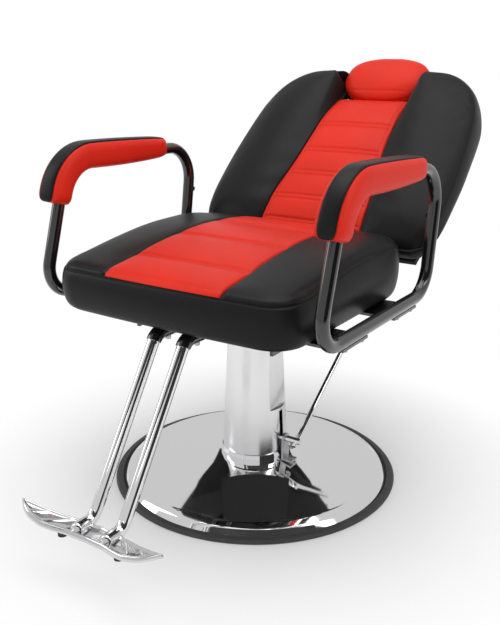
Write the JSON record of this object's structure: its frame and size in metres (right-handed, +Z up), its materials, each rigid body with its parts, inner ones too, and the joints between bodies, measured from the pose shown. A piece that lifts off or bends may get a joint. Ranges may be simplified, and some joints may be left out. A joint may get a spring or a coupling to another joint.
{
  "type": "hydraulic barber chair",
  "caption": "Reclining hydraulic barber chair: round base, foot-pump column, swivelling padded seat, looped tube arms, sliding headrest and a T-shaped footrest.",
  "frame": {"origin": "centre of the round base at floor level, on the column axis", "axes": "+Z up, -Y towards the front where the sitter's feet rest, +X towards the sitter's left"},
  "size_m": [0.64, 1.1654, 0.8319],
  "materials": {
    "chrome": "polished",
    "floor_rubber": "matt",
    "rubber": "matt",
    "cast_iron": "as cast",
    "steel": "zinc plated",
    "bronze": "plain",
    "black_paint": "gloss",
    "lined_board": "black dust cloth over plywood",
    "black_vinyl": "satin grained vinyl",
    "red_vinyl": "satin grained vinyl",
    "black_plastic": "satin"
  },
  "bodies": {
    "base": {"base_plate": "chrome", "base_rubber_ring": "floor_rubber", "base_collar": "chrome", "column_cover": "chrome", "pump_block": "cast_iron", "base_bolts": "steel", "pump_cylinder": "steel", "cylinder_gland": "cast_iron", "lever_bracket": "steel", "bracket_screws": "steel"},
    "pump_lever": {"rocker_shaft": "chrome", "rocker_arm": "steel", "lever_rod": "chrome", "foot_bar_sleeve": "rubber", "lever_set_screw": "steel"},
    "plunger": {"pump_plunger": "steel", "plunger_spring": "steel"},
    "piston": {"piston": "steel", "piston_seal": "rubber", "thrust_washer": "bronze"},
    "seat": {"ram": "chrome", "seat_frame": "black_paint", "frame_bolts": "steel", "front_strap": "black_paint", "rear_strap": "black_paint", "seat_board": "lined_board", "seat_cushion": "black_vinyl", "arm_frame_left": "black_paint", "arm_frame_right": "black_paint", "arm_pad_left": "red_vinyl", "arm_pad_right": "red_vinyl", "arm_pad_screws": "steel", "strap_screws": "steel", "post_plugs": "black_plastic", "footrest_bracket": "black_paint", "footrest_tubes": "chrome", "footrest_set_screws": "steel", "foot_plate": "chrome", "foot_plate_screws": "steel", "foot_plate_bumpers": "rubber", "recline_pins": "steel", "pin_clips": "steel", "gas_anchor": "black_paint"},
    "backrest": {"backrest_board": "lined_board", "backrest_wing_left": "black_vinyl", "backrest_wing_right": "black_vinyl", "backrest_centre": "red_vinyl", "backrest_rear_cover": "black_vinyl", "hinge_ears": "black_paint", "hinge_bolts": "steel", "gas_lug": "black_paint", "headrest_guide": "black_paint"},
    "gas_cylinder": {"gas_cylinder": "black_paint"},
    "gas_rod": {"gas_rod": "chrome"},
    "release_handle": {"release_shaft": "chrome", "release_grip": "rubber"},
    "headrest": {"headrest_bar": "chrome", "headrest_pad": "red_vinyl"},
    "headrest_knob": {"headrest_knob": "black_plastic"}
  },
  "joints": [
    {"name": "lift", "type": "slide", "parent": "base", "child": "piston", "axis": [0, 0, 1], "range_m": [0, 0.15]},
    {"name": "swivel", "type": "hinge", "parent": "piston", "child": "seat", "pos_m": [0, 0, 0.2], "axis": [0, 0, 1], "continuous": true},
    {"name": "pump_lever", "type": "hinge", "parent": "base", "child": "pump_lever", "pos_m": [0.06, 0, 0.09], "axis": [1, 0, 0], "range_deg": [-28, 0]},
    {"name": "pump_stroke", "type": "slide", "parent": "base", "child": "plunger", "axis": [0, 0, 1], "range_m": [-0.0078, 0], "deforming": ["plunger_spring"]},
    {"name": "recline", "type": "hinge", "parent": "seat", "child": "backrest", "pos_m": [0, 0.30233, 0.42252], "axis": [-1, 0, 0], "range_deg": [-38, 0]},
    {"name": "gas_spring_tilt", "type": "hinge", "parent": "seat", "child": "gas_cylinder", "pos_m": [0.04, 0.06, 0.351], "axis": [1, 0, 0], "range_deg": [0, 4.5]},
    {"name": "gas_spring_stroke", "type": "slide", "parent": "gas_cylinder", "child": "gas_rod", "axis": [0, 0.9964, 0.085], "range_m": [0, 0.045]},
    {"name": "release_handle", "type": "hinge", "parent": "seat", "child": "release_handle", "pos_m": [0, 0.038, 0.351], "axis": [1, 0, 0], "range_deg": [-10, 10]},
    {"name": "headrest_height", "type": "slide", "parent": "backrest", "child": "headrest", "axis": [0, 0.7071, 0.7071], "range_m": [0, 0.06]},
    {"name": "headrest_knob", "type": "hinge", "parent": "backrest", "child": "headrest_knob", "pos_m": [0, 0.5484, 0.66153], "axis": [0, 0.7071, -0.7071], "range_deg": [0, 270]}
  ],
  "couplings": [
    {"joint": "pump_stroke", "follows": "pump_lever", "m_per_rad": 0.01535},
    {"joint": "gas_spring_tilt", "follows": "recline", "ratio": -0.07585},
    {"joint": "gas_spring_stroke", "follows": "recline", "m_per_rad": -0.04575}
  ]
}
